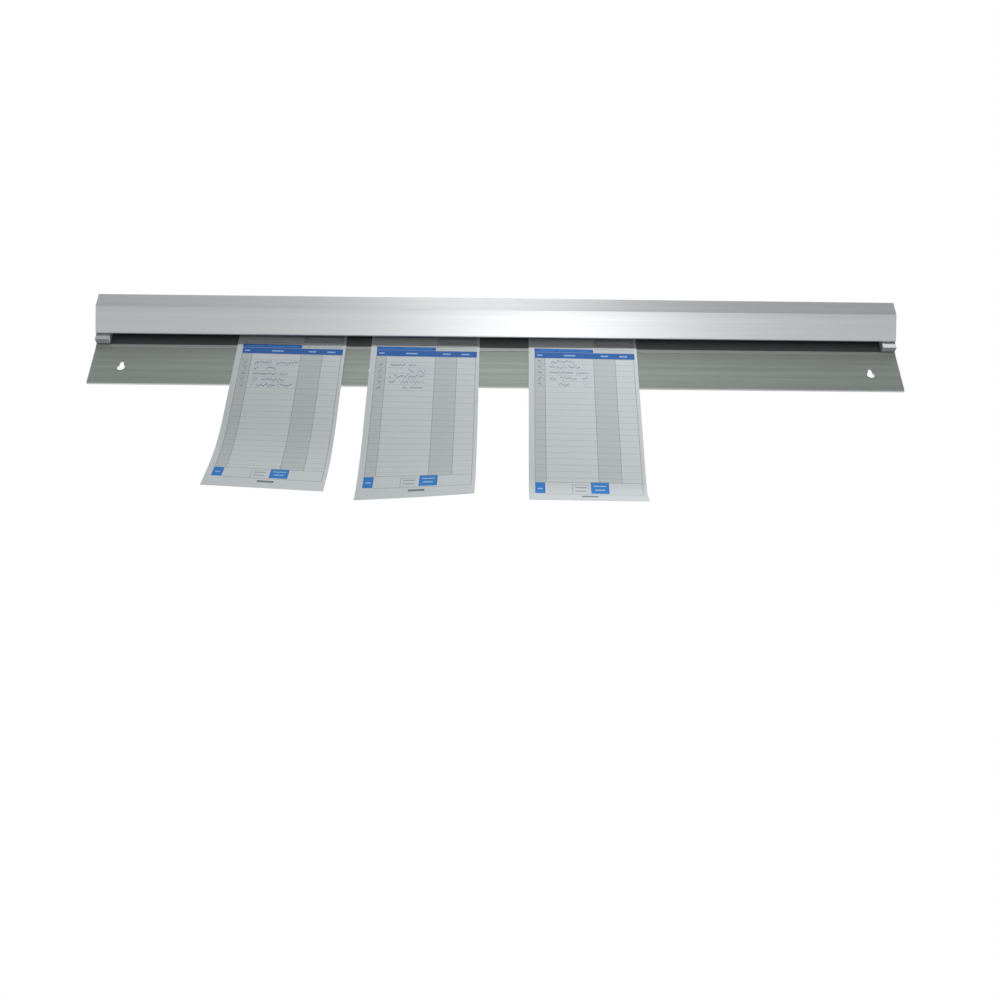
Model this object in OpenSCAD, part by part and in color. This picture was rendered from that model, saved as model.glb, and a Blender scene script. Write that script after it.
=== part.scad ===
// Order ticket rail: an extruded wall rail whose marbles pinch paper tickets in a slot.
// Millimetres. +X runs along the rail, +Y points into the wall, +Z is up.
// The origin is on the wall plane, midway along the row of keyholes.

/* [Rail] */
// Length of the extruded profile
rail_length = 762; // [640:2:914]
// Height from the lower edge of the plate to the top of the hood
rail_height = 91; // [88:0.5:102]
// Depth from the wall to the front face
rail_depth = 25; // [23:0.5:30]
// Thickness of the back plate
plate_t = 2.4; // [1.6:0.1:3.5]
// Wall thickness of the hood
hood_t = 1.8; // [1.2:0.1:2.4]
// Height of the upright front face
front_height = 16; // [13:0.5:18]
// Angle of the sloping face from the vertical
slope_angle = 34; // [31:1:40]
// Width of the ticket slot between the plate and the lip
slot_gap = 6.4; // [5:0.1:8]
// Height of the rib's middle above the lower edge of the plate
rib_height = 45.2; // [40:0.1:47]
// Width of the rib up the plate
rib_width = 3.6; // [1.6:0.1:4.4]
// How far the rib stands out from the plate
rib_proud = 0.6; // [0.3:0.1:0.8]

/* [Keyholes] */
// Distance of the outer keyholes from the ends of the rail
keyhole_inset = 28; // [22:1:40]
// Height of the entry holes above the lower edge of the plate
keyhole_height = 19.5; // [16:0.5:23]
// Diameter of the entry hole that takes the screw head
entry_d = 7.6; // [7:0.1:9]
// Width of the narrow slot that takes the screw shank
shank_slot_w = 4.2; // [3.6:0.1:4.6]
// Rise of the narrow slot above the entry hole
keyhole_rise = 5.5; // [5:0.5:8]

/* [End plugs] */
// Length of each plug along the rail
plug_length = 13; // [12:1:20]
// Gap between a plug and the channel walls
plug_clearance = 0.1; // [0.05:0.05:0.3]
// Gap between the foot of a plug and the rib below it
plug_foot_gap = 0.6; // [0.5:0.1:3]
// Width of the crush ribs that wedge a plug in place
crush_rib_w = 1.2; // [0.8:0.1:2]

/* [Marbles] */
// Diameter of a glass marble
marble_d = 16; // [13:0.5:17.5]
// Gap between a resting marble and what it leans on
marble_clearance = 0.15; // [0.1:0.05:0.3]

/* [Tickets] */
// Width of a ticket
ticket_w = 103; // [80:1:114]
// Full length of a ticket
ticket_length = 213; // [180:1:230]
// Thickness of the ticket paper
ticket_t = 0.2; // [0.15:0.05:0.3]
// Gap between a ticket and the plate or the rib behind it
ticket_clearance = 0.15; // [0.1:0.05:0.3]
// Radius of the forward curl of a ticket's free end
ticket_curl_r = 900; // [600:50:2000]
// Length of a ticket below the lip that stays flat
ticket_flat = 55; // [50:1:70]
// Place of the left ticket along the rail
ticket_left_x = -195; // [-230:1:-178]
// Place of the middle ticket along the rail
ticket_mid_x = -69; // [-84:1:-36]
// Place of the right ticket along the rail
ticket_right_x = 81.5; // [48:0.5:230]
// How far the left ticket is pushed in above the lip
ticket_left_in = 22; // [20:0.5:30]
// How far the middle ticket is pushed in above the lip
ticket_mid_in = 20; // [20:0.5:30]
// How far the right ticket is pushed in above the lip
ticket_right_in = 20; // [20:0.5:30]
// Lean of the left ticket in its own plane
ticket_left_lean = 0.9; // [-3:0.1:4]
// Lean of the middle ticket in its own plane
ticket_mid_lean = 0.3; // [-3:0.1:3]
// Lean of the right ticket in its own plane
ticket_right_lean = 0.8; // [-3:0.1:4]

/* [Hidden] */
MARBLE_COUNT = 28;
ARC_STEPS = 5;
OUTER_R = 1.1;
EDGE_R = 0.45;
RIB_R = 0.25;
INNER_R = 0.9;
// How far a cutting shape runs past the wall that it cuts
CUT_OVER = 1;
// Depth to which a crush rib is rooted in its plug
CRUSH_ROOT = 1;

// Heights above the origin
bottom_z = -keyhole_height;
top_z = bottom_z + rail_height;
ceiling_z = top_z - hood_t;
nose_z = top_z - front_height;
rib_low_z = bottom_z + rib_height - rib_width / 2;
rib_top_z = rib_low_z + rib_width;

// Depths in front of the wall
lip_in_d = plate_t + slot_gap;
lip_out_d = lip_in_d + hood_t / cos(slope_angle);
front_in_d = rail_depth - hood_t;
lip_z = nose_z - (rail_depth - lip_out_d) / tan(slope_angle);
slope_in_top_z = lip_z + (front_in_d - lip_in_d) / tan(slope_angle);

// Keyholes stand at an even pitch
keyhole_pitch = (rail_length - 2 * keyhole_inset) / 3;
KEYHOLE_STEPS = [-1.5, -0.5, 0.5, 1.5];

// Tickets lean back so that their tops meet the plate and they clear the rib
ticket_tilt = atan(rib_proud / (ceiling_z - rib_top_z));
function ticket_back_d(z) = plate_t + ticket_clearance + (ceiling_z - z) * tan(ticket_tilt);
TICKET_X = [ticket_left_x, ticket_mid_x, ticket_right_x];

// Marbles share the channel between the plugs at an even pitch
marble_r = marble_d / 2;
marble_reach = marble_r + marble_clearance;
marble_pitch = (rail_length - 2 * plug_length) / MARBLE_COUNT;
// A marble this far past a ticket's edge still bears on the ticket
EDGE_REACH = 6;
function marble_x(i) = (i - (MARBLE_COUNT + 1) / 2) * marble_pitch;
function near_ticket(x) =
    min([for (t = TICKET_X) abs(x - t)]) < ticket_w / 2 + EDGE_REACH;
// The surface behind a marble: its lean, and its depth carried down to the origin's height
function rest_tilt(x) = near_ticket(x) ? ticket_tilt : 0;
function rest_d(x) = near_ticket(x) ? ticket_back_d(0) + ticket_t / cos(ticket_tilt) : plate_t;
// Height and depth at which a marble rests on that surface and on the slope
function marble_z(x) =
    let (tilt = rest_tilt(x), d = rest_d(x) + marble_reach / cos(rest_tilt(x)))
    (marble_reach + (d - lip_in_d) * cos(slope_angle) + lip_z * sin(slope_angle))
    / (tan(tilt) * cos(slope_angle) + sin(slope_angle));
function marble_depth(x) =
    rest_d(x) + marble_reach / cos(rest_tilt(x)) - marble_z(x) * tan(rest_tilt(x));

// A corner [x, y, r] of an outline becomes an arc of radius r, or stays sharp at r = 0
function unit(v) = v / norm(v);
function corner_arc(a, v, b) =
    let (
        p = [v[0], v[1]],
        u = unit([a[0], a[1]] - p),
        w = unit([b[0], b[1]] - p),
        half = acos(u * w) / 2,
        mid = p + unit(u + w) * v[2] / sin(half),
        from = p + u * v[2] / tan(half) - mid,
        to = p + w * v[2] / tan(half) - mid,
        start = atan2(from[1], from[0]),
        step = atan2(from[0] * to[1] - from[1] * to[0], from * to) / ARC_STEPS
    )
    v[2] == 0
        ? [p]
        : [for (k = [0:ARC_STEPS]) mid + v[2] * [cos(start + k * step), sin(start + k * step)]];
function rounded(c) =
    let (n = len(c))
    [for (i = [0:n - 1]) each corner_arc(c[(i + n - 1) % n], c[i], c[(i + 1) % n])];

// The profile as corners [depth, height, radius]
RAIL_OUTLINE = [
    [0, bottom_z, EDGE_R],
    [plate_t, bottom_z, EDGE_R],
    [plate_t, rib_low_z, 0],
    [plate_t + rib_proud, rib_low_z, RIB_R],
    [plate_t + rib_proud, rib_top_z, RIB_R],
    [plate_t, rib_top_z, 0],
    [plate_t, ceiling_z, INNER_R],
    [front_in_d, ceiling_z, INNER_R],
    [front_in_d, slope_in_top_z, INNER_R],
    [lip_in_d, lip_z, EDGE_R],
    [lip_out_d, lip_z, EDGE_R],
    [rail_depth, nose_z, OUTER_R],
    [rail_depth, top_z, OUTER_R],
    [0, top_z, EDGE_R]
];

// The plug fills the channel, and its foot hangs through the slot to just above the rib
plug_slope_gap = plug_clearance / cos(slope_angle);
plug_foot_z = rib_top_z + plug_foot_gap;
PLUG_OUTLINE = [
    [plate_t + plug_clearance, plug_foot_z, EDGE_R],
    [lip_in_d - plug_slope_gap, plug_foot_z, EDGE_R],
    [lip_in_d - plug_slope_gap, lip_z, 0],
    [front_in_d - plug_clearance, slope_in_top_z, INNER_R + plug_clearance],
    [front_in_d - plug_clearance, ceiling_z - plug_clearance, INNER_R + plug_clearance],
    [plate_t + plug_clearance, ceiling_z - plug_clearance, INNER_R + plug_clearance]
];

// Extrudes an outline of depth and height along the rail
module along_rail(outline, length) {
    rotate([90, 0, -90])
        linear_extrude(height = length, center = true)
            polygon(rounded(outline));
}

// One keyhole: an entry hole, with a narrow round-ended slot above it
module keyhole() {
    through = plate_t + 2 * CUT_OVER;
    translate([0, CUT_OVER, 0])
        rotate([90, 0, 0])
            cylinder(d = entry_d, h = through, $fn = 48);
    translate([-shank_slot_w / 2, CUT_OVER - through, 0])
        cube([shank_slot_w, through, keyhole_rise]);
    translate([0, CUT_OVER, keyhole_rise])
        rotate([90, 0, 0])
            cylinder(d = shank_slot_w, h = through, $fn = 48);
}

// Extruded aluminium profile with its keyholes
module rail() {
    color([0.78, 0.79, 0.8])
        difference() {
            along_rail(RAIL_OUTLINE, rail_length);
            for (k = KEYHOLE_STEPS)
                translate([k * keyhole_pitch, 0, 0])
                    keyhole();
        }
}

// Plug pressed into one end of the channel, with crush ribs against the ceiling and the front wall
module end_plug(side) {
    color([0.5, 0.51, 0.52])
        translate([side * (rail_length - plug_length) / 2, 0, 0]) {
            along_rail(PLUG_OUTLINE, plug_length);
            for (k = [-1, 1])
                translate([k * plug_length / 4 - crush_rib_w / 2, 0, 0]) {
                    translate([0, -(plate_t + front_in_d + crush_rib_w) / 2, ceiling_z - CRUSH_ROOT])
                        cube([crush_rib_w, crush_rib_w, CRUSH_ROOT]);
                    translate([0, -front_in_d, (slope_in_top_z + ceiling_z) / 2])
                        cube([crush_rib_w, CRUSH_ROOT, crush_rib_w]);
                }
        }
}

module end_plug_left() {
    end_plug(-1);
}

module end_plug_right() {
    end_plug(1);
}

// Glass marble number i, resting in the wedge between the slope and what hangs on the plate
module marble(i) {
    x = marble_x(i);
    color([0.42, 0.6, 0.58])
        translate([x, -marble_depth(x), marble_z(x)])
            sphere(d = marble_d, $fn = 64);
}

// Paper ticket: flat behind the marbles and the lip, curling forward at its free end
module ticket(x, inserted, lean) {
    curl_length = ticket_length - inserted - ticket_flat;
    color([0.9, 0.93, 0.97])
        translate([x, -ticket_back_d(lip_z), lip_z])
            rotate([-ticket_tilt, 0, 0])
                rotate([0, lean, 0]) {
                    translate([-ticket_w / 2, -ticket_t, -ticket_flat])
                        cube([ticket_w, ticket_t, ticket_flat + inserted]);
                    translate([0, -ticket_curl_r, -ticket_flat])
                        rotate([-90, 0, 90])
                            translate([0, 0, -ticket_w / 2])
                                rotate_extrude(angle = curl_length / ticket_curl_r * 180 / PI, $fn = 720)
                                    translate([ticket_curl_r - ticket_t, 0])
                                        square([ticket_t, ticket_w]);
                }
}

module ticket_left() {
    ticket(ticket_left_x, ticket_left_in, ticket_left_lean);
}

module ticket_mid() {
    ticket(ticket_mid_x, ticket_mid_in, ticket_mid_lean);
}

module ticket_right() {
    ticket(ticket_right_x, ticket_right_in, ticket_right_lean);
}

rail();
end_plug_left();
end_plug_right();
marble(1);  // marble_01
marble(2);  // marble_02
marble(3);  // marble_03
marble(4);  // marble_04
marble(5);  // marble_05
marble(6);  // marble_06
marble(7);  // marble_07
marble(8);  // marble_08
marble(9);  // marble_09
marble(10);  // marble_10
marble(11);  // marble_11
marble(12);  // marble_12
marble(13);  // marble_13
marble(14);  // marble_14
marble(15);  // marble_15
marble(16);  // marble_16
marble(17);  // marble_17
marble(18);  // marble_18
marble(19);  // marble_19
marble(20);  // marble_20
marble(21);  // marble_21
marble(22);  // marble_22
marble(23);  // marble_23
marble(24);  // marble_24
marble(25);  // marble_25
marble(26);  // marble_26
marble(27);  // marble_27
marble(28);  // marble_28
ticket_left();
ticket_mid();
ticket_right();
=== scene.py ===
import math

import bpy
import numpy as np
from mathutils import Matrix


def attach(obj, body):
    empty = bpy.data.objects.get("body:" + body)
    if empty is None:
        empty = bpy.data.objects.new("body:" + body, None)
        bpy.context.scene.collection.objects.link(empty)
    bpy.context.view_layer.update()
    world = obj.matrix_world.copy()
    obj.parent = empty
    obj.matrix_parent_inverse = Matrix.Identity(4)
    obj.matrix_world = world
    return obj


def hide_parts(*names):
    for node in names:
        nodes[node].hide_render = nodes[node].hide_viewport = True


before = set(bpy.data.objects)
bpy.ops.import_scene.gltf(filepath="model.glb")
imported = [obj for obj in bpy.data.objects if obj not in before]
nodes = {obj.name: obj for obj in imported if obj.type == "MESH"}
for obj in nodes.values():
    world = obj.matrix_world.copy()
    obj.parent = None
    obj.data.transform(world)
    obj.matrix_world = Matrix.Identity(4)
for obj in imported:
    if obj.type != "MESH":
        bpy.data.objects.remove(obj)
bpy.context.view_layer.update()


# The rail is one aluminium extrusion, saw-cut to length, with four punched keyholes: a flat wall
# plate, and a hood that hangs forward over a slot. The hood is brushed until it shines. The rib and
# the long edges take its finish, and their lighter colour is a painted highlight. In front the
# plate is coloured darker than the hood, partly for its duller skin and partly as painted shade
# from the hood, and faintly green; at the wall it is grey. Higher up under the hood it darkens
# further, and inside the channel the metal is dark, both as painted shade.
MM = 0.001
HOOD_BRIGHT, HOOD_DULL = "#D4D5D7", "#CACBCD"
# the plate's third colour is painted shade under the hood
PLATE_BRIGHT, PLATE_DULL, PAINTED_PLATE_SHADE = "#B2B8B2", "#9CA39D", "#9A9F9A"
# the channel's colour is painted shade inside it
PLATE_BACK, PAINTED_CHANNEL_SHADE, CUT_END = "#AFB1B3", "#646667", "#C4C6C8"
HOOD_ROUGH, PLATE_ROUGH, BRUSH_ROUGH = 0.40, 0.55, 0.09
SLOPE = math.radians(34)                  # of the hood's underside, from upright
CHANNEL_WALLS = (                         # normal and distance of the planes round the channel, inside which the metal is painted dark as shade
    ((0.0, 0.0, 1.0), 27.45), ((0.0, 0.0, -1.0), -70.0),
    ((0.0, 1.0, 0.0), -23.6), ((0.0, -1.0, 0.0), 2.3),
    ((0.0, math.cos(SLOPE), math.sin(SLOPE)), 11.45))
RAIL_HALF, CUT_SKIN = 381.0, 0.05         # half the length, and how deep the cut ends' colour goes
HOOD_STARTS, HOOD_FULL = 4.0, 8.0         # depths from the wall between which plate turns to hood
PLATE_FACE = 2.45                         # depth of the plate's face, of which the rib stands proud
RIB_MIDDLE, RIB_HALF = 25.7, 1.85         # height of the rib, and half its width
RIB_FINISH_AND_HIGHLIGHT = 0.3                           # its share of the hood's finish: smoother, and lighter as a painted highlight
MID_HEIGHT, HALF_HEIGHT = 26.0, 45.45     # only the long edges lie further from the middle, and they take the hood's colour as a painted highlight
PAINTED_SHADE_TOP, PAINTED_SHADE_FOOT = 24.0, 8.0           # heights between which the plate darkens upward under the hood, as painted shade
# width, length and depth of the brush's scratches and of the die's lines, coarse enough to show
BRUSH_LINE, BRUSH_RUN, BRUSH_DEPTH = 0.7, 140.0, 0.05
DIE_LINE, DIE_RUN, DIE_DEPTH = 4.5, 9000.0, 0.4
STREAK_DULL, STREAK_BRIGHT = 0.7, 1.3     # sums of the two patterns that give the end colours


def linear(colour):
    """An sRGB hex colour as linear RGBA: c/12.92 up to 0.04045, and above it
    ((c + 0.055)/1.055) to the power 2.4."""
    c = np.array([int(colour[i:i + 2], 16) for i in (1, 3, 5)]) / 255
    return (*np.where(c <= 0.04045, c / 12.92, ((c + 0.055) / 1.055) ** 2.4).tolist(), 1.0)


def feed(tree, made, inputs):
    """Links each input, found by its name or its number among those in use, to a socket, or sets
    it to a value."""
    for key, value in inputs.items():
        in_use = [s for s in made.inputs if s.enabled]
        socket = in_use[key] if isinstance(key, int) else next(s for s in in_use if s.name == key)
        if isinstance(value, bpy.types.NodeSocket):
            tree.links.new(value, socket)
        else:
            socket.default_value = value


def node(tree, kind, inputs=None, **settings):
    """Adds a node: settings are its properties, and its inputs are fed. Gives back its output, or
    the node itself where it has several."""
    made = tree.nodes.new("ShaderNode" + kind)
    for name, value in settings.items():
        setattr(made, name, value)
    feed(tree, made, inputs or {})
    outputs = [s for s in made.outputs if s.enabled]
    return outputs[0] if len(outputs) == 1 else made


def start_finish(name):
    """A new material, with its node tree and its Principled shader."""
    made = bpy.data.materials.new(name)
    made.use_nodes = True
    return made, made.node_tree, made.node_tree.nodes["Principled BSDF"]


def dress(piece, *finishes):
    """Gives a piece its finishes in place of what its slots held."""
    piece.data.materials.clear()
    for finish in finishes:
        piece.data.materials.append(finish)


# Brushed aluminium: fine scratches along the length spread a light up and down the profile into a
# soft bright band and keep it narrow along the rail. Die lines run straight through as faint bands.
aluminium, tree, shader = start_finish("brushed_aluminium")
at = node(tree, "TexCoord").outputs["Object"]
place = node(tree, "SeparateXYZ", {"Vector": at})
x, y, z = (place.outputs[axis] for axis in "XYZ")
brush_at = node(tree, "Mapping", {
    "Vector": at, "Scale": (1 / (BRUSH_RUN * MM), 1 / (BRUSH_LINE * MM), 1 / (BRUSH_LINE * MM))})
brush = node(tree, "TexNoise", {
    "Vector": brush_at, "Scale": 1.0, "Detail": 4.0, "Roughness": 0.65}).outputs["Fac"]
die_at = node(tree, "Mapping", {
    "Vector": at, "Scale": (1 / (DIE_RUN * MM), 1 / (DIE_LINE * MM), 1 / (DIE_LINE * MM))})
die = node(tree, "TexNoise", {"Vector": die_at, "Scale": 1.0, "Detail": 2.0}).outputs["Fac"]
streaks = node(tree, "Math", {0: brush, 1: die}, operation="ADD")
shade = node(tree, "MapRange", {
    "Value": streaks, "From Min": STREAK_DULL, "From Max": STREAK_BRIGHT}, clamp=True)
hood_colour = node(tree, "Mix", {
    "Factor": shade, "A": linear(HOOD_DULL), "B": linear(HOOD_BRIGHT)}, data_type="RGBA")
plate_colour = node(tree, "Mix", {
    "Factor": shade, "A": linear(PLATE_DULL), "B": linear(PLATE_BRIGHT)}, data_type="RGBA")
# painted shade: the plate's colour darkens upward under the hood, where the hood shades it
painted_shade = node(tree, "MapRange", {"Value": z, "From Min": PAINTED_SHADE_FOOT * MM, "From Max": PAINTED_SHADE_TOP * MM})
plate_colour = node(tree, "Mix", {
    "Factor": painted_shade, "A": plate_colour, "B": linear(PAINTED_PLATE_SHADE)}, data_type="RGBA")
in_front = node(tree, "Math", {0: y, 1: -PLATE_FACE / 2 * MM}, operation="LESS_THAN")
plate_colour = node(tree, "Mix", {
    "Factor": in_front, "A": linear(PLATE_BACK), "B": plate_colour}, data_type="RGBA")
on_hood = node(tree, "MapRange", {
    "Value": y, "From Min": -HOOD_STARTS * MM, "From Max": -HOOD_FULL * MM})
# painted highlight: the proud rib takes a share of the hood's lighter colour, and of its smoother
# finish
rib = node(tree, "Math", {0: z, 1: RIB_MIDDLE * MM, 2: RIB_HALF * MM}, operation="COMPARE")
proud = node(tree, "Math", {0: y, 1: -PLATE_FACE * MM}, operation="LESS_THAN")
rib = node(tree, "Math", {0: rib, 1: proud}, operation="MULTIPLY")
rib = node(tree, "Math", {0: rib, 1: RIB_FINISH_AND_HIGHLIGHT}, operation="MULTIPLY")
# painted highlight: the long edges take the hood's lighter colour and its finish
faces = node(tree, "Math", {0: z, 1: MID_HEIGHT * MM, 2: HALF_HEIGHT * MM}, operation="COMPARE")
edge = node(tree, "Math", {0: 1.0, 1: faces}, operation="SUBTRACT")
painted_highlight = node(tree, "Math", {0: rib, 1: edge}, operation="MAXIMUM")
hood_finish_and_highlight = node(tree, "Math", {0: on_hood, 1: painted_highlight}, operation="MAXIMUM")
# the plate's colour, darker than the hood's, is partly its duller skin and partly painted shade
skin = node(tree, "Mix", {"Factor": hood_finish_and_highlight, "A": plate_colour, "B": hood_colour}, data_type="RGBA")
# painted shade: the faces inside the channel take a dark colour
shaded_channel = 1.0
for normal, distance in CHANNEL_WALLS:
    reach = node(tree, "VectorMath", {0: at, 1: normal}, operation="DOT_PRODUCT")
    inward = node(tree, "Math", {0: reach, 1: distance * MM}, operation="GREATER_THAN")
    shaded_channel = node(tree, "Math", {0: inward, 1: shaded_channel}, operation="MULTIPLY")
skin = node(tree, "Mix", {"Factor": shaded_channel, "A": skin, "B": linear(PAINTED_CHANNEL_SHADE)}, data_type="RGBA")
from_middle = node(tree, "Math", {0: x}, operation="ABSOLUTE")
cut = node(tree, "Math", {0: from_middle, 1: (RAIL_HALF - CUT_SKIN) * MM}, operation="GREATER_THAN")
colour = node(tree, "Mix", {"Factor": cut, "A": skin, "B": linear(CUT_END)}, data_type="RGBA")
polish = node(tree, "MapRange", {"Value": hood_finish_and_highlight, "To Min": PLATE_ROUGH, "To Max": HOOD_ROUGH})
roughness = node(tree, "Math", {0: brush, 1: BRUSH_ROUGH, 2: polish}, operation="MULTIPLY_ADD")
drawn = node(tree, "Bump", {"Height": die, "Strength": 1.0, "Distance": DIE_DEPTH * MM})
grain = node(tree, "Bump", {
    "Height": brush, "Strength": 0.12, "Distance": BRUSH_DEPTH * MM, "Normal": drawn})
around = node(tree, "Tangent", direction_type="RADIAL", axis="X")
feed(tree, shader, {
    "Base Color": colour, "Roughness": roughness, "Normal": grain, "Tangent": around,
    "Metallic": 1.0, "Anisotropic": 0.5})
dress(nodes["rail"], aluminium)


# The two end plugs are moulded in grey plastic and pressed into the ends of the channel, where
# crush ribs hold them, so that the marbles can't roll out.
PLUG_GREY, PLUG_PALE = "#BCBDBF", "#C5C6C8"
PLUG_SMOOTH, PLUG_ROUGH = 0.40, 0.58
PEBBLE, PEBBLE_DEPTH = 0.35, 0.04         # grain of the mould's spark-eroded skin
MOTTLE = 9.0                              # patches where the grey isn't quite even

# Moulded polypropylene: an even satin grey, with the fine pebble that the mould gives it.
plastic, tree, shader = start_finish("moulded_grey_plastic")
at = node(tree, "TexCoord").outputs["Object"]
pebble = node(tree, "TexNoise", {
    "Vector": at, "Scale": 1 / (PEBBLE * MM), "Detail": 2.0}).outputs["Fac"]
mottle = node(tree, "TexNoise", {
    "Vector": at, "Scale": 1 / (MOTTLE * MM), "Detail": 2.0}).outputs["Fac"]
colour = node(tree, "Mix", {
    "Factor": mottle, "A": linear(PLUG_GREY), "B": linear(PLUG_PALE)}, data_type="RGBA")
satin = node(tree, "MapRange", {"Value": pebble, "To Min": PLUG_SMOOTH, "To Max": PLUG_ROUGH})
grain = node(tree, "Bump", {"Height": pebble, "Strength": 0.25, "Distance": PEBBLE_DEPTH * MM})
feed(tree, shader, {"Base Color": colour, "Roughness": satin, "Normal": grain, "IOR": 1.49})
for side in ("left", "right"):
    dress(nodes["end_plug_" + side], plastic)


# The marbles are pressed glass balls of 16 mm that lie loose in the channel, in the wedge between
# the slope and the plate. Each rolls down against a ticket and pinches it.
GLASS_CLEAR, GLASS_SWIRL = "#D9EEE6", "#4E9A86"
SWIRL = 7.0                               # width of a swirl
THREAD_STARTS, THREAD_FULL = 0.52, 0.62   # levels of the swirl between which the thread shows

# Soda-lime marble glass: clear and faintly green, with a darker thread of colour stirred through.
glass, tree, shader = start_finish("pressed_marble_glass")
at = node(tree, "TexCoord").outputs["Object"]
swirl = node(tree, "TexNoise", {
    "Vector": at, "Scale": 1 / (SWIRL * MM), "Detail": 3.0, "Distortion": 2.5}).outputs["Fac"]
thread = node(tree, "MapRange", {
    "Value": swirl, "From Min": THREAD_STARTS, "From Max": THREAD_FULL})
colour = node(tree, "Mix", {
    "Factor": thread, "A": linear(GLASS_CLEAR), "B": linear(GLASS_SWIRL)}, data_type="RGBA")
feed(tree, shader, {
    "Base Color": colour, "Roughness": 0.03, "IOR": 1.52, "Transmission Weight": 1.0})
for name in nodes:
    if name.startswith("marble_"):
        dress(nodes[name], glass)


# The tickets are printed paper slips, 103 by 213 mm, pushed up past the lip. The marbles hold the
# top, the rest hangs over the rib and the plate, and the free end curls forward.
TICKET_W, TICKET_L, TICKET_T = 103.0, 213.0, 0.2
LIP_Z, CEILING_Z, PLATE_T, TICKET_GAP = 34.7014, 69.7, 2.4, 0.15
TILT = math.radians(0.81458)              # the tickets' tops lean back to the plate
ACROSS, DOWN = 30, 90                     # cells of a ticket's grid
CURL_POINTS = 1000                        # points at which a curl is summed
# place along the rail, length above the lip, lean and turn of the bend lines in degrees,
# how far the curl turns forward in degrees, over what length, and its start below the lip
TICKETS = {
    "left": (-195.5, 21.8, 1.04, -6.3, 23.4, 90.0, 88.0),
    "mid": (-68.5, 20.4, 0.55, 15.1, 40.1, 191.0, 81.5),
    "right": (81.3, 19.8, 0.78, 0.5, 38.8, 30.0, 159.5),
}


def hung_ticket(along, inserted, lean, turn, curl, length, start):
    """A flat slip bent about parallel lines, so that its area stays the same. In the slip, with a
    across from the middle and d down from the lip, t = d cos(turn) + a sin(turn) runs across the
    bend lines and g = a cos(turn) - d sin(turn) along them. Past the start the slip turns forward
    by curl f^2 (3 - 2f), where f grows from 0 to 1 over the curl's length: the sums of the cosine
    and the sine of that angle give its new t and how far it has come forward. The slip is then
    leaned in its plane, and its plane is tilted about the lip. Gives the points and the flat
    places, from 0 to 1."""
    v, u = np.meshgrid(
        np.linspace(0, 1, DOWN + 1), np.linspace(0, 1, ACROSS + 1), indexing="ij")
    a, d = (u - 0.5) * TICKET_W, v * TICKET_L - inserted
    c, s = math.cos(math.radians(turn)), math.sin(math.radians(turn))
    t, g = d * c + a * s, a * c - d * s
    past, step = np.linspace(0, TICKET_L, CURL_POINTS, retstep=True)
    f = np.minimum(past / length, 1)
    angle = math.radians(curl) * f ** 2 * (3 - 2 * f)
    e = np.maximum(t - start, 0)
    forward = np.interp(e, past, np.cumsum(np.sin(angle)) * step)
    t = np.minimum(t, start) + np.interp(e, past, (np.cumsum(np.cos(angle)) - 1) * step)
    a, d = t * s + g * c, t * c - g * s
    c, s = math.cos(math.radians(lean)), math.sin(math.radians(lean))
    a, d = a * c - d * s, d * c + a * s
    middle = PLATE_T + TICKET_GAP + TICKET_T / 2 + (CEILING_Z - LIP_Z) * math.tan(TILT)
    points = np.stack([
        along + a,
        -middle - d * math.sin(TILT) - forward * math.cos(TILT),
        LIP_Z - d * math.cos(TILT) + forward * math.sin(TILT)], axis=-1)
    return points * MM, np.stack([u, v], axis=-1)


def sheet_mesh(name, points, flat_places):
    """A grid of points as one mesh of quads that face forward, with its flat places as UV map. It
    is smooth, apart from the edges of the first and last row and column, which are cut square."""
    rows, columns = points.shape[:2]
    index = np.arange(rows * columns).reshape(rows, columns)
    corners = index[:-1, :-1], index[1:, :-1], index[1:, 1:], index[:-1, 1:]
    quads = np.stack(corners, axis=-1).reshape(-1, 4)
    mesh = bpy.data.meshes.new(name)
    mesh.from_pydata(points.reshape(-1, 3).tolist(), [], quads.tolist())
    uv = mesh.uv_layers.new(name="flat")
    uv.data.foreach_set("uv", flat_places.reshape(-1, 2)[quads.ravel()].ravel())
    mesh.polygons.foreach_set("use_smooth", [True] * len(quads))
    ends = np.empty(len(mesh.edges) * 2, dtype=np.int32)
    mesh.edges.foreach_get("vertices", ends)
    row, column = np.divmod(ends.reshape(-1, 2), columns)
    cut = ((row == 0) | (row == rows - 1)).all(axis=1)
    cut |= ((column == 0) | (column == columns - 1)).all(axis=1)
    mesh.attributes.new("sharp_edge", "BOOLEAN", "EDGE").data.foreach_set("value", cut)
    return mesh


# Copy paper: a cool off-white with a soft fibre mottle, drawn coarser than real fibres so that it
# shows, and a matt skin.
PAPER, PAPER_DIM = "#CDD3D5", "#C6CCCE"
FIBRE, FIBRE_DEPTH = 0.8, 0.03


def start_paper(name):
    """A new finish of plain paper, with its node tree, its shader, its colour and the place on the
    slip in mm, across from the left edge and down from the top."""
    made, tree, shader = start_finish(name)
    flat = node(tree, "UVMap", uv_map="flat")
    on_slip = node(tree, "Mapping", {"Vector": flat, "Scale": (TICKET_W, TICKET_L, 1.0)})
    fibre = node(tree, "TexNoise", {
        "Vector": on_slip, "Scale": 1 / FIBRE, "Detail": 3.0}).outputs["Fac"]
    colour = node(tree, "Mix", {
        "Factor": fibre, "A": linear(PAPER_DIM), "B": linear(PAPER)}, data_type="RGBA")
    grain = node(tree, "Bump", {
        "Height": fibre, "Strength": 0.15, "Distance": FIBRE_DEPTH * MM})
    feed(tree, shader, {"Base Color": colour, "Normal": grain, "Roughness": 0.8, "IOR": 1.5})
    return made, tree, shader, colour, on_slip


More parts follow.
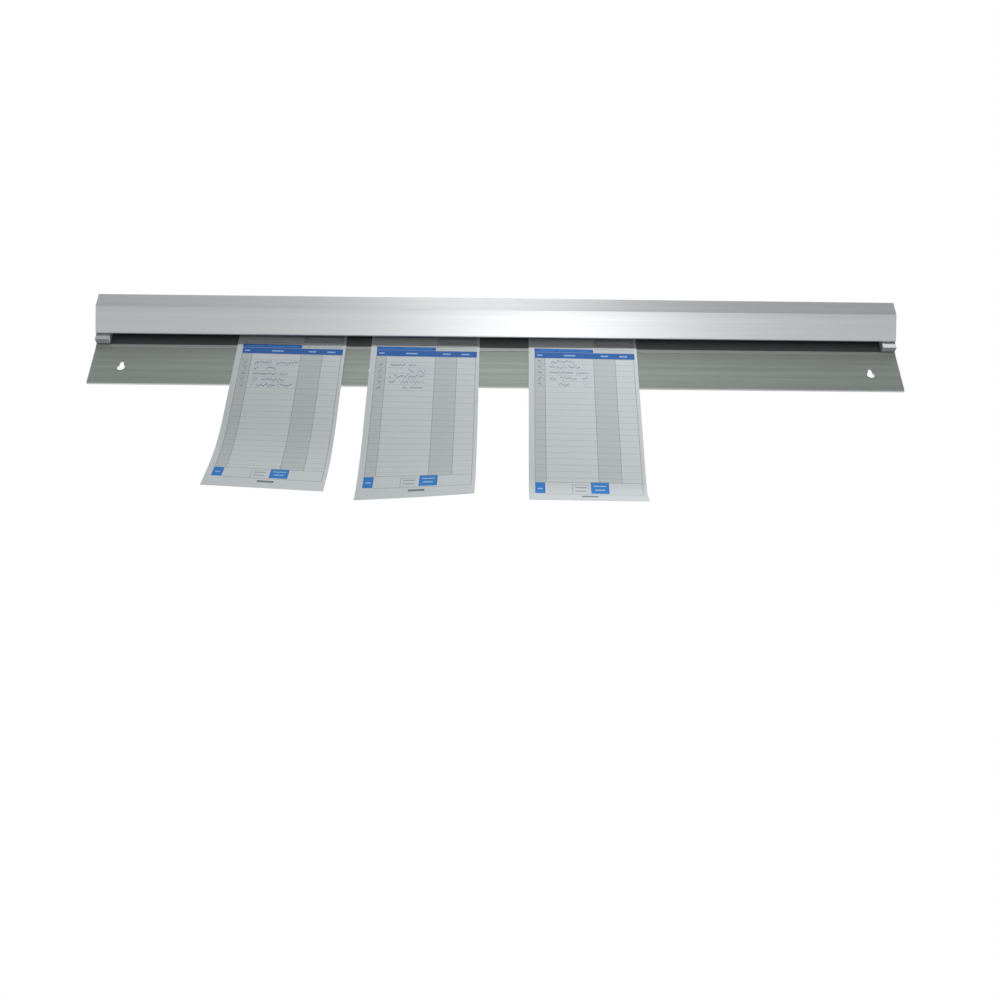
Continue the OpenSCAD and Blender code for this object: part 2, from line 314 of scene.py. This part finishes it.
# Printed copy paper: the front of a slip, with tinted columns, ruled rows and flat blue ink.
TINT, FRAME = "#BAC1C1", "#8C9491"
BLUE, SKY, PALE = "#3765A9", "#387EC4", "#9DBBDD"
PANEL, PANEL_MARK, DARK = "#AEB1B3", "#C2C6C7", "#6E7474"
TABLE_TOP, TABLE_FOOT, FORM_FOOT, ROW = 39.9, 183.0, 198.4, 6.9
COLUMNS = (5.7, 15.4, 61.5, 81.9, 99.5)
LINE = 0.45                               # printed lines, a little wide so that they show
RULE, RULE_INK = 0.8, 0.3                 # the rows' lines, wider than real, and their share of ink
FIELD_LEFT, FIELD_RIGHT = 5.7, 60.0       # the form's fields at the top
BOX_LEFT, BOX_RIGHT, BOX_TOP = 37.9, 52.5, 185.6
HEADINGS, TITLES = (35.5, 37.0), (29.4, 30.7)    # top and bottom of the bars in the blue bands
PRINT = [                                 # left, right, top, bottom, ink
    (COLUMNS[0], COLUMNS[1], TABLE_TOP, TABLE_FOOT, TINT),
    (COLUMNS[2], COLUMNS[3], TABLE_TOP, TABLE_FOOT, TINT),
    (62.5, 100.0, 5.0, 25.0, PANEL),
    (61.8, 100.0, 28.0, 32.5, TINT),
    (5.4, 61.5, 28.0, 32.3, BLUE),
    (5.7, 100.6, 32.5, 39.8, BLUE),
    (5.5, 14.4, 183.4, 197.6, SKY),
    (54.2, 70.1, 182.4, 197.0, SKY),
    (45.6, 59.7, 201.4, 204.4, DARK),
]
PRINT += [(edge - LINE / 2, edge + LINE / 2, TABLE_TOP, TABLE_FOOT, FRAME) for edge in COLUMNS]
PRINT += [
    (COLUMNS[1], COLUMNS[4], TABLE_FOOT - LINE / 2, TABLE_FOOT + LINE / 2, FRAME),
    (COLUMNS[1], COLUMNS[4], FORM_FOOT - LINE / 2, FORM_FOOT + LINE / 2, FRAME),
    (COLUMNS[4] - LINE / 2, COLUMNS[4] + LINE / 2, TABLE_FOOT, FORM_FOOT, FRAME),
    (BOX_LEFT, BOX_LEFT + LINE, BOX_TOP, FORM_FOOT, FRAME),
    (BOX_LEFT, BOX_RIGHT, BOX_TOP, BOX_TOP + LINE, FRAME),
    (62.0, 100.0, 27.6, 27.6 + LINE, FRAME),
]
PRINT += [(FIELD_LEFT, FIELD_RIGHT, top, top + LINE, FRAME) for top in (25.6, 15.0, 5.0)]
# short bars where a form has its headings
PRINT += [(left, right, *HEADINGS, PALE) for left, right in (
    (8.0, 13.0), (33.5, 44.5), (68.5, 75.5), (86.0, 93.5))]
PRINT += [(left, right, *TITLES, SKY) for left, right in (
    (9.5, 26.0), (28.0, 45.0), (47.0, 58.0))]
PRINT += [
    (66.0, 96.0, 18.6, 20.2, PANEL_MARK), (66.0, 88.0, 12.4, 14.0, PANEL_MARK),
    (7.8, 12.2, 190.0, 191.6, PALE),
    (56.6, 67.8, 186.2, 187.5, PALE), (57.8, 66.4, 190.8, 192.5, PALE),
    (40.6, 51.0, 188.2, 189.3, FRAME), (40.6, 50.2, 192.9, 194.0, FRAME),
    (48.0, 57.4, 202.4, 203.4, FRAME),
]

printed, tree, shader, colour, on_slip = start_paper("printed_copy_paper")
spot = node(tree, "SeparateXYZ", {"Vector": on_slip})
x, y = spot.outputs["X"], spot.outputs["Y"]
for left, right, top, bottom, ink in PRINT:
    wide = node(tree, "Math", {
        0: x, 1: (left + right) / 2, 2: (right - left) / 2}, operation="COMPARE")
    high = node(tree, "Math", {
        0: y, 1: (top + bottom) / 2, 2: (bottom - top) / 2}, operation="COMPARE")
    inked = node(tree, "Math", {0: wide, 1: high}, operation="MULTIPLY")
    colour = node(tree, "Mix", {"Factor": inked, "A": colour, "B": linear(ink)}, data_type="RGBA")
row_at = node(tree, "Math", {0: y, 1: TABLE_TOP}, operation="SUBTRACT")
row_at = node(tree, "Math", {0: row_at, 1: ROW}, operation="DIVIDE")
row = node(tree, "Math", {0: row_at}, operation="FLOOR")
in_row = node(tree, "Math", {0: row_at}, operation="FRACT")
ruled = node(tree, "Math", {0: in_row, 1: RULE / ROW}, operation="LESS_THAN")
wide = node(tree, "Math", {
    0: x, 1: (COLUMNS[0] + COLUMNS[4]) / 2, 2: (COLUMNS[4] - COLUMNS[0]) / 2}, operation="COMPARE")
high = node(tree, "Math", {
    0: y, 1: (TABLE_TOP + TABLE_FOOT) / 2, 2: (TABLE_FOOT - TABLE_TOP) / 2}, operation="COMPARE")
ruled = node(tree, "Math", {0: ruled, 1: wide}, operation="MULTIPLY")
ruled = node(tree, "Math", {0: ruled, 1: high}, operation="MULTIPLY")
ruled = node(tree, "Math", {0: ruled, 1: RULE_INK}, operation="MULTIPLY")
colour = node(tree, "Mix", {"Factor": ruled, "A": colour, "B": linear(FRAME)}, data_type="RGBA")

# pen marks: one wavering line to a row, broken into runs, with no letters in it
PEN = "#6F7294"
PEN_ROWS = 5                              # rows with writing on a ticket
PEN_FIRST = {"left": 1, "mid": 1, "right": 0}    # and the first of them
PEN_STEP, PEN_WORD = 1.05, 8.0            # lengths of one waver and of one run
PEN_WIDE = 0.5                            # half the line's width, more than a real pen's, to show
WAVE_REACH, PEN_REACH = (0.25, 0.75), (0.2, 0.95)    # noise levels, and their places in a row
WORD_GAP = 0.4                            # noise level under which a gap parts two runs
PEN_LEFT, PEN_ENDS = 19.5, (37.0, 60.0)   # where the writing starts, and where it may end
COUNT_MIDDLE, COUNT_HALF = 10.5, 1.8      # the mark in the first column
ROW_SEED, SLIP_SEED = 7.3, 31.7           # set the rows and the tickets apart in the noise

slip = node(tree, "Attribute", attribute_name="slip").outputs["Fac"]
row_seed = node(tree, "Math", {0: row, 1: ROW_SEED, 2: slip}, operation="MULTIPLY_ADD")
wave_x = node(tree, "Math", {0: x, 1: PEN_STEP}, operation="DIVIDE")
wave_at = node(tree, "CombineXYZ", {"X": wave_x, "Y": row_seed})
wave = node(tree, "TexNoise", {"Vector": wave_at, "Scale": 1.0, "Detail": 1.0}).outputs["Fac"]
pen_at = node(tree, "MapRange", {
    "Value": wave, "From Min": WAVE_REACH[0], "From Max": WAVE_REACH[1],
    "To Min": PEN_REACH[0], "To Max": PEN_REACH[1]}, clamp=False)
penned = node(tree, "Math", {0: in_row, 1: pen_at, 2: PEN_WIDE / ROW}, operation="COMPARE")
word_x = node(tree, "Math", {0: x, 1: PEN_WORD}, operation="DIVIDE")
word_at = node(tree, "CombineXYZ", {"X": word_x, "Y": row_seed})
word = node(tree, "TexNoise", {"Vector": word_at, "Scale": 1.0, "Detail": 0.0}).outputs["Fac"]
word = node(tree, "Math", {0: word, 1: WORD_GAP}, operation="GREATER_THAN")
seed_at = node(tree, "CombineXYZ", {"X": row, "Y": slip})
chance = node(tree, "TexWhiteNoise", {"Vector": seed_at}, noise_dimensions="2D").outputs["Value"]
ends = node(tree, "MapRange", {"Value": chance, "To Min": PEN_ENDS[0], "To Max": PEN_ENDS[1]})
begun = node(tree, "Math", {0: x, 1: PEN_LEFT}, operation="GREATER_THAN")
ended = node(tree, "Math", {0: x, 1: ends}, operation="LESS_THAN")
count = node(tree, "Math", {0: x, 1: COUNT_MIDDLE, 2: COUNT_HALF}, operation="COMPARE")
noted = node(tree, "Math", {0: begun, 1: ended}, operation="MULTIPLY")
noted = node(tree, "Math", {0: noted, 1: word}, operation="MULTIPLY")
noted = node(tree, "Math", {0: noted, 1: count}, operation="MAXIMUM")
first_row = node(tree, "Attribute", attribute_name="first_row").outputs["Fac"]
pen_row = node(tree, "Math", {0: row, 1: first_row}, operation="SUBTRACT")
written = node(tree, "Math", {
    0: pen_row, 1: (PEN_ROWS - 1) / 2, 2: PEN_ROWS / 2}, operation="COMPARE")
penned = node(tree, "Math", {0: penned, 1: noted}, operation="MULTIPLY")
penned = node(tree, "Math", {0: penned, 1: written}, operation="MULTIPLY")
colour = node(tree, "Mix", {"Factor": penned, "A": colour, "B": linear(PEN)}, data_type="RGBA")
feed(tree, shader, {"Base Color": colour})

# Plain copy paper: the unprinted back of a slip.
plain = start_paper("plain_copy_paper")[0]

for number, (side, shape) in enumerate(TICKETS.items()):
    name = "ticket_" + side
    mesh = sheet_mesh("paper_" + name, *hung_ticket(*shape))
    for mark, value in (("slip", SLIP_SEED * number), ("first_row", PEN_FIRST[side])):
        marks = mesh.attributes.new(mark, "FLOAT", "POINT").data
        marks.foreach_set("value", [value] * len(mesh.vertices))
    paper = bpy.data.objects.new("paper_" + name, mesh)
    bpy.context.scene.collection.objects.link(paper)
    dress(paper, printed, plain)
    wall = paper.modifiers.new("paper thickness", "SOLIDIFY")
    wall.thickness = TICKET_T * MM
    wall.offset = 0.0
    wall.material_offset = 1
    wall.material_offset_rim = 1
    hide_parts(name)
    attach(paper, name)


# A plain pale floor lies well below the rail, under the low camera, in a white room.
FLOOR_Z, FLOOR_HALF, FLOOR_PALE = -1.0, 8.0, "#C8C9CA"
FLOOR_GLOW = 0.8                          # share of white in the floor where it is seen

floor_mesh = bpy.data.meshes.new("floor")
floor_corners = ((-1, -1), (1, -1), (1, 1), (-1, 1))
floor_mesh.from_pydata(
    [(sx * FLOOR_HALF, sy * FLOOR_HALF, FLOOR_Z) for sx, sy in floor_corners], [], [(0, 1, 2, 3)])
floor = bpy.data.objects.new("floor", floor_mesh)
bpy.context.scene.collection.objects.link(floor)

# Painted floor: matt and pale, and near white to the eye, to a reflection and through glass.
pale, tree, shader = start_finish("pale_floor_paint")
feed(tree, shader, {"Base Color": linear(FLOOR_PALE), "Roughness": 0.9})
ray = node(tree, "LightPath")
mirrored = node(tree, "Math", {
    0: ray.outputs["Is Glossy Ray"], 1: ray.outputs["Is Transmission Ray"]}, operation="MAXIMUM")
seen = node(tree, "Math", {0: ray.outputs["Is Camera Ray"], 1: mirrored}, operation="MAXIMUM")
share = node(tree, "Math", {0: seen, 1: FLOOR_GLOW}, operation="MULTIPLY")
glow = node(tree, "Emission", {"Strength": 1.0})
mixed = node(tree, "MixShader", {0: share, 1: shader.outputs[0], 2: glow})
feed(tree, tree.nodes["Material Output"], {"Surface": mixed})
dress(floor, pale)

# The room is white to the eye, dim as a light, and greyer in front where the metal mirrors it.
ROOM_LEVEL, ROOM_FRONT, ROOM_BACK = 0.15, 0.48, 1.0
FRONT_Y, BACK_Y = -0.7, 0.3               # directions between which front turns to back

world = bpy.data.worlds.new("white_room")
bpy.context.scene.world = world
world.use_nodes = True
tree = world.node_tree
ray = node(tree, "LightPath")
toward = node(tree, "SeparateXYZ", {"Vector": node(tree, "TexCoord").outputs["Generated"]})
room = node(tree, "MapRange", {
    "Value": toward.outputs["Y"], "From Min": FRONT_Y, "From Max": BACK_Y,
    "To Min": ROOM_FRONT, "To Max": ROOM_BACK})
mirrored = node(tree, "Math", {
    0: ray.outputs["Is Glossy Ray"], 1: ray.outputs["Is Transmission Ray"]}, operation="MAXIMUM")
level = node(tree, "Mix", {"Factor": mirrored, "A": ROOM_LEVEL, "B": room})
level = node(tree, "Mix", {"Factor": ray.outputs["Is Camera Ray"], "A": level, "B": 1.0})
feed(tree, tree.nodes["Background"], {"Color": (1.0, 1.0, 1.0, 1.0), "Strength": level})

# Studio lamps: a compact one in front and above lights the paper, and the hood cuts it off just
# under the slot, where a weak one fills in from below. One behind and below shows the backs of the
# tickets, and the soft panels are what the bare metal mirrors. All point at the lip.
LAMPS = {                # elevation, side angle, distance, width, height, watts, what it reaches
    "paper_lamp": (33.0, 42.0, 1.15, 0.2, 0.16, 14.3, "diffuse"),
    "fill_lamp": (-25.0, 0.0, 1.2, 0.5, 0.4, 0.95, "diffuse"),
    "back_lamp": (-12.0, 180.0, 1.3, 0.8, 0.5, 13.0, "diffuse"),
    "high_panel": (40.0, 0.0, 1.3, 0.38, 0.5, 1.85, "glossy"),
    "side_panel": (40.0, -29.0, 1.3, 0.6, 0.5, 0.3, "glossy"),
    "low_panel": (-28.0, 6.5, 0.9, 0.3, 0.4, 1.5, "glossy"),
}
AIM = Matrix.Translation((0.0, -12 * MM, 40 * MM))
for name, (rise, aside, far, width, height, watts, reach) in LAMPS.items():
    lamp = bpy.data.lights.new(name, "AREA")
    lamp.shape = "RECTANGLE"
    lamp.size, lamp.size_y, lamp.energy = width, height, watts
    shown = bpy.data.objects.new(name, lamp)
    bpy.context.scene.collection.objects.link(shown)
    shown.matrix_world = (
        AIM @ Matrix.Rotation(math.radians(aside), 4, "Z")
        @ Matrix.Rotation(math.radians(90 - rise), 4, "X") @ Matrix.Translation((0.0, 0.0, far)))
    shown.visible_camera = False
    shown.visible_diffuse = reach == "diffuse"
    shown.visible_glossy = reach == "glossy"

# The camera stands low in front of the rail and looks up at it.
EYE = (-9.3 * MM, -789.5 * MM, -658.7 * MM)
YAW, PITCH, ROLL = -0.858, 33.115, 0.041
lens = bpy.data.cameras.new("camera")
lens.sensor_width, lens.lens = 36.0, 39.0
camera = bpy.data.objects.new("camera", lens)
bpy.context.scene.collection.objects.link(camera)
camera.matrix_world = (
    Matrix.Translation(EYE) @ Matrix.Rotation(math.radians(YAW), 4, "Z")
    @ Matrix.Rotation(math.radians(90 + PITCH), 4, "X")
    @ Matrix.Rotation(math.radians(ROLL), 4, "Z"))
bpy.context.scene.camera = camera
bpy.context.scene.view_settings.view_transform = "Standard"
